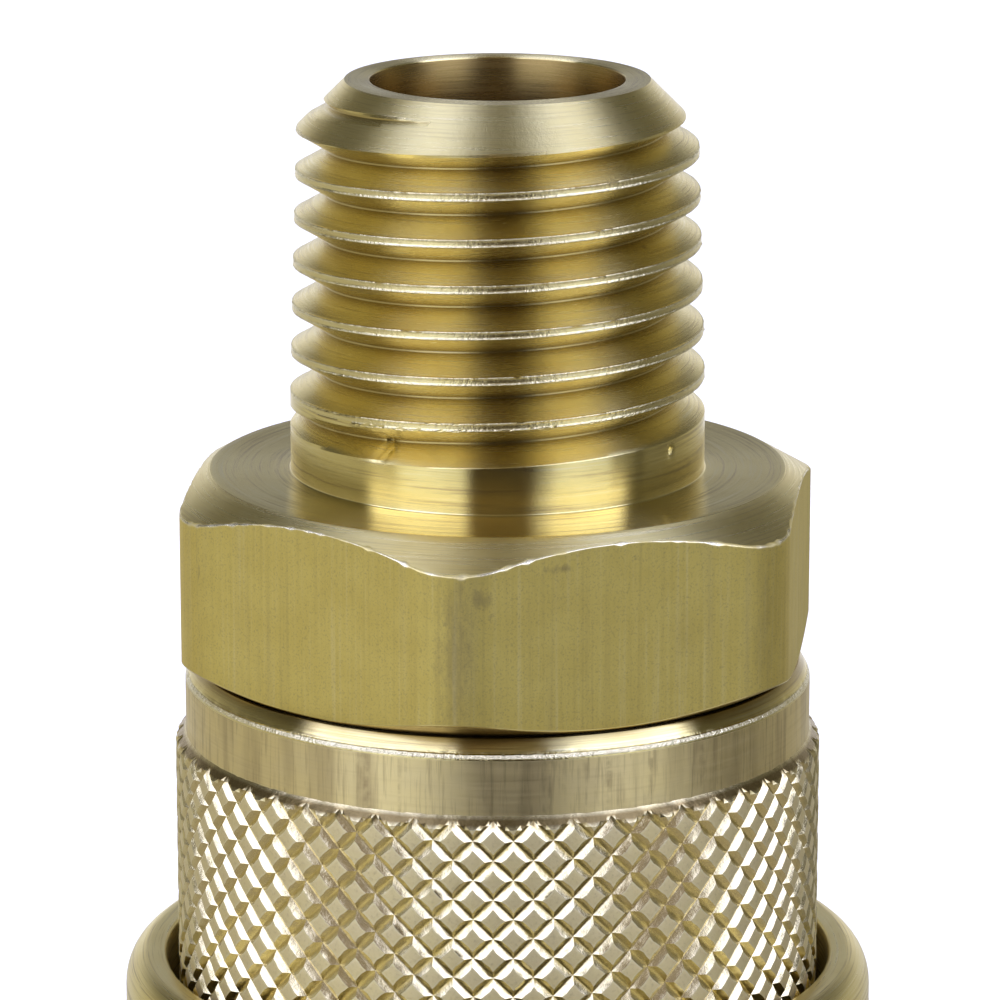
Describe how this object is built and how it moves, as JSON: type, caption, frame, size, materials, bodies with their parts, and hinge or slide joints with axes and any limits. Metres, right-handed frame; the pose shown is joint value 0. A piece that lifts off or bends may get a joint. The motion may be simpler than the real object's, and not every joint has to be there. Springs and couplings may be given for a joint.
{
  "type": "quick disconnect coupler",
  "caption": "Brass ball-lock air coupler with a male taper pipe thread, a hexagon, a knurled body and a sliding release sleeve.",
  "frame": {"origin": "centre of the mouth face, on the coupler's axis, where it stands with the thread up", "axes": "+Z along the axis from the mouth to the thread end; -Y is the front, towards which one hexagon corner turns"},
  "size_m": [0.024, 0.024, 0.053],
  "materials": {
    "adapter_brass": "turned and drawn, satin",
    "body_brass": "turned, diamond knurled",
    "sleeve_brass": "turned, polished rim",
    "valve_brass": "turned",
    "washer_brass": "stamped",
    "ring_steel": "spring steel",
    "spring_steel": "drawn wire",
    "ball_steel": "ground and polished",
    "seal_rubber": "moulded",
    "gasket_rubber": "cut sheet"
  },
  "bodies": {
    "socket": {"hex_adapter": "adapter_brass", "socket_body": "body_brass", "retaining_ring": "ring_steel", "seal_washer": "washer_brass", "plug_seal": "seal_rubber", "adapter_gasket": "gasket_rubber", "valve_spring": "spring_steel"},
    "spring": {"sleeve_spring": "spring_steel"},
    "sleeve": {"release_sleeve": "sleeve_brass"},
    "valve": {"valve_poppet": "valve_brass", "valve_face_seal": "seal_rubber"},
    "ball_1": {"lock_ball_1": "ball_steel"},
    "ball_2": {"lock_ball_2": "ball_steel"},
    "ball_3": {"lock_ball_3": "ball_steel"},
    "ball_4": {"lock_ball_4": "ball_steel"},
    "ball_5": {"lock_ball_5": "ball_steel"},
    "ball_6": {"lock_ball_6": "ball_steel"}
  },
  "joints": [
    {"name": "sleeve_spin", "type": "hinge", "parent": "socket", "child": "spring", "pos_m": [0, 0, 0], "axis": [0, 0, 1], "continuous": true},
    {"name": "sleeve_slide", "type": "slide", "parent": "spring", "child": "sleeve", "axis": [0, 0, 1], "range_m": [0, 0.0032], "stiffness_N_per_m": 3000, "springref_m": -0.003, "deforming": ["sleeve_spring"]},
    {"name": "valve_slide", "type": "slide", "parent": "socket", "child": "valve", "axis": [0, 0, 1], "range_m": [0, 0.0032], "stiffness_N_per_m": 800, "springref_m": -0.004, "deforming": ["valve_spring"]},
    {"name": "ball_1_slide", "type": "slide", "parent": "socket", "child": "ball_1", "axis": [0.866, 0.5, 0], "range_m": [0, 0.00109]},
    {"name": "ball_2_slide", "type": "slide", "parent": "socket", "child": "ball_2", "axis": [0, 1, 0], "range_m": [0, 0.00109]},
    {"name": "ball_3_slide", "type": "slide", "parent": "socket", "child": "ball_3", "axis": [-0.866, 0.5, 0], "range_m": [0, 0.00109]},
    {"name": "ball_4_slide", "type": "slide", "parent": "socket", "child": "ball_4", "axis": [-0.866, -0.5, 0], "range_m": [0, 0.00109]},
    {"name": "ball_5_slide", "type": "slide", "parent": "socket", "child": "ball_5", "axis": [0, -1, 0], "range_m": [0, 0.00109]},
    {"name": "ball_6_slide", "type": "slide", "parent": "socket", "child": "ball_6", "axis": [0.866, -0.5, 0], "range_m": [0, 0.00109]}
  ],
  "couplings": [
    {"joint": "ball_1_slide", "follows": "sleeve_slide", "ratio": 0.34},
    {"joint": "ball_2_slide", "follows": "sleeve_slide", "ratio": 0.34},
    {"joint": "ball_3_slide", "follows": "sleeve_slide", "ratio": 0.34},
    {"joint": "ball_4_slide", "follows": "sleeve_slide", "ratio": 0.34},
    {"joint": "ball_5_slide", "follows": "sleeve_slide", "ratio": 0.34},
    {"joint": "ball_6_slide", "follows": "sleeve_slide", "ratio": 0.34}
  ]
}
